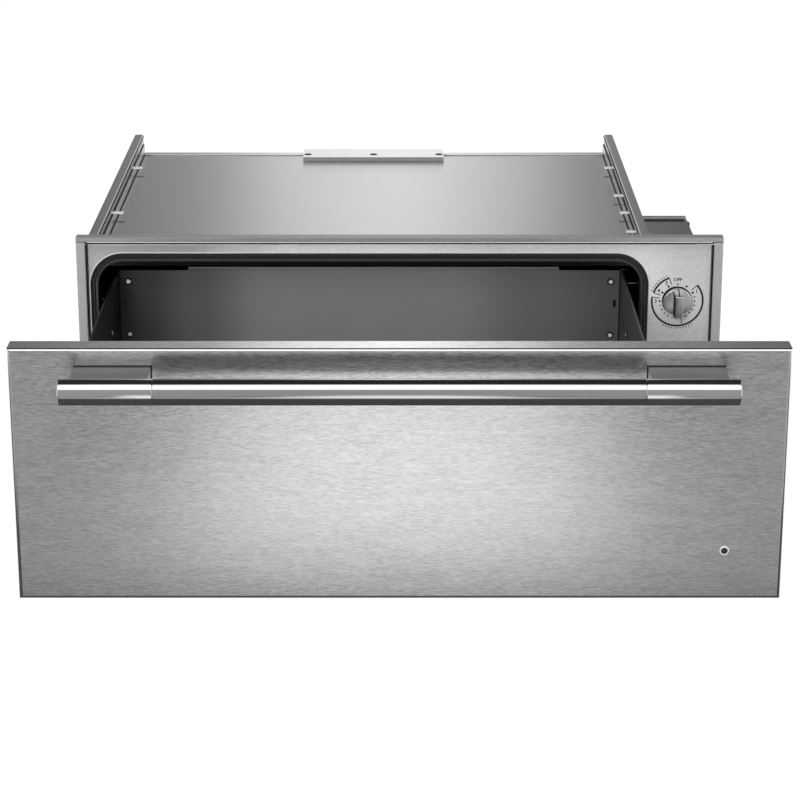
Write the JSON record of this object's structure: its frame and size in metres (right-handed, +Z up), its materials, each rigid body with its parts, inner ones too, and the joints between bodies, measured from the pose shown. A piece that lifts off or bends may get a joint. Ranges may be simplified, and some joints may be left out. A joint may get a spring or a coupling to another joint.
{
  "type": "built-in warming drawer",
  "caption": "Built-in warming drawer with a brushed front, a round bar handle, a trim frame with a gasketed mouth, full-extension ball-bearing slides and a knob beside the mouth",
  "frame": {"origin": "middle of the trim frame's width, in the plane of the cabinet face that the trim frame's rear flanges lie on, at the height of the cutout floor under the chassis", "axes": "+X to the right seen from the front, +Y into the cabinet, +Z up; the drawer opens along -Y"},
  "size_m": [0.7556, 1.1205, 0.2596],
  "materials": {
    "brushed_stainless": "horizontally brushed stainless steel, bare",
    "polished_bar": "fine-turned stainless steel bar, nearly bright",
    "satin_sheet": "plain rolled stainless sheet, satin",
    "cavity_sheet": "dull stainless sheet of the drawer box and the cavity",
    "galvanised": "galvanised steel sheet, fine spangle",
    "zinc_plated": "zinc-plated steel, bright and slightly blue",
    "gasket": "matt black silicone rubber",
    "lagging": "off-white mineral fibre mat",
    "black_plastic": "matt black moulded plastic",
    "lens": "dark clear plastic lens, unlit",
    "heater_sheath": "heat-browned nickel alloy sheath"
  },
  "bodies": {
    "chassis": {"rim_top_bar": "brushed_stainless", "rim_bottom_bar": "brushed_stainless", "rim_left_bar": "brushed_stainless", "rim_right_bar": "brushed_stainless", "face_plate": "brushed_stainless", "thermostat_bulb": "polished_bar", "side_panel_left": "satin_sheet", "side_panel_right": "satin_sheet", "top_panel": "satin_sheet", "rear_bracket": "satin_sheet", "control_cover": "satin_sheet", "liner_sleeve": "cavity_sheet", "liner_back": "cavity_sheet", "base_pan": "galvanised", "rear_panel": "galvanised", "control_housing": "galvanised", "slide_plate_left": "galvanised", "slide_plate_right": "galvanised", "element_saddle_front": "zinc_plated", "element_saddle_back": "zinc_plated", "bulb_bracket": "zinc_plated", "slide_outer_left": "zinc_plated", "slide_outer_right": "zinc_plated", "mouth_gasket": "gasket", "lagging_left": "lagging", "lagging_right": "lagging", "lagging_base": "lagging", "lagging_rear": "lagging", "thermostat_body": "black_plastic", "terminal_block": "black_plastic", "inlet_bushing": "black_plastic", "pilot_lamp": "lens", "heating_element": "heater_sheath"},
    "drawer": {"front_skin": "brushed_stainless", "front_inner_panel": "galvanised", "front_lagging": "lagging", "handle_bar": "polished_bar", "handle_sleeve_left": "polished_bar", "handle_sleeve_right": "polished_bar", "handle_foot_left": "satin_sheet", "handle_foot_right": "satin_sheet", "handle_nut_plate_left": "zinc_plated", "handle_nut_plate_right": "zinc_plated", "light_pipe": "lens", "light_pipe_bezel": "polished_bar", "drawer_floor": "cavity_sheet", "drawer_front_wall": "cavity_sheet", "drawer_back": "cavity_sheet", "drawer_side_left": "cavity_sheet", "drawer_side_right": "cavity_sheet", "slide_inner_left": "zinc_plated", "slide_inner_right": "zinc_plated"},
    "middle_left": {"slide_middle_left": "zinc_plated"},
    "middle_right": {"slide_middle_right": "zinc_plated"},
    "cage_outer_left": {"ball_cage_outer_left": "polished_bar"},
    "cage_outer_right": {"ball_cage_outer_right": "polished_bar"},
    "cage_inner_left": {"ball_cage_inner_left": "polished_bar"},
    "cage_inner_right": {"ball_cage_inner_right": "polished_bar"},
    "knob": {"knob": "polished_bar", "knob_shaft": "zinc_plated"}
  },
  "joints": [
    {"name": "drawer_slide", "type": "slide", "parent": "chassis", "child": "drawer", "axis": [0, -1, 0], "range_m": [-0.44, 0.035]},
    {"name": "middle_slide_left", "type": "slide", "parent": "chassis", "child": "middle_left", "axis": [0, -1, 0], "range_m": [-0.22, 0.0175]},
    {"name": "outer_cage_left", "type": "slide", "parent": "chassis", "child": "cage_outer_left", "axis": [0, -1, 0], "range_m": [-0.11, 0.00875]},
    {"name": "inner_cage_left", "type": "slide", "parent": "chassis", "child": "cage_inner_left", "axis": [0, -1, 0], "range_m": [-0.33, 0.02625]},
    {"name": "middle_slide_right", "type": "slide", "parent": "chassis", "child": "middle_right", "axis": [0, -1, 0], "range_m": [-0.22, 0.0175]},
    {"name": "outer_cage_right", "type": "slide", "parent": "chassis", "child": "cage_outer_right", "axis": [0, -1, 0], "range_m": [-0.11, 0.00875]},
    {"name": "inner_cage_right", "type": "slide", "parent": "chassis", "child": "cage_inner_right", "axis": [0, -1, 0], "range_m": [-0.33, 0.02625]},
    {"name": "knob_turn", "type": "hinge", "parent": "chassis", "child": "knob", "pos_m": [0.3205, -0.003, 0.1578], "axis": [0, 1, 0], "range_deg": [0, 335]}
  ],
  "couplings": [
    {"joint": "middle_slide_left", "follows": "drawer_slide", "ratio": 0.5},
    {"joint": "outer_cage_left", "follows": "drawer_slide", "ratio": 0.25},
    {"joint": "inner_cage_left", "follows": "drawer_slide", "ratio": 0.75},
    {"joint": "middle_slide_right", "follows": "drawer_slide", "ratio": 0.5},
    {"joint": "outer_cage_right", "follows": "drawer_slide", "ratio": 0.25},
    {"joint": "inner_cage_right", "follows": "drawer_slide", "ratio": 0.75}
  ]
}
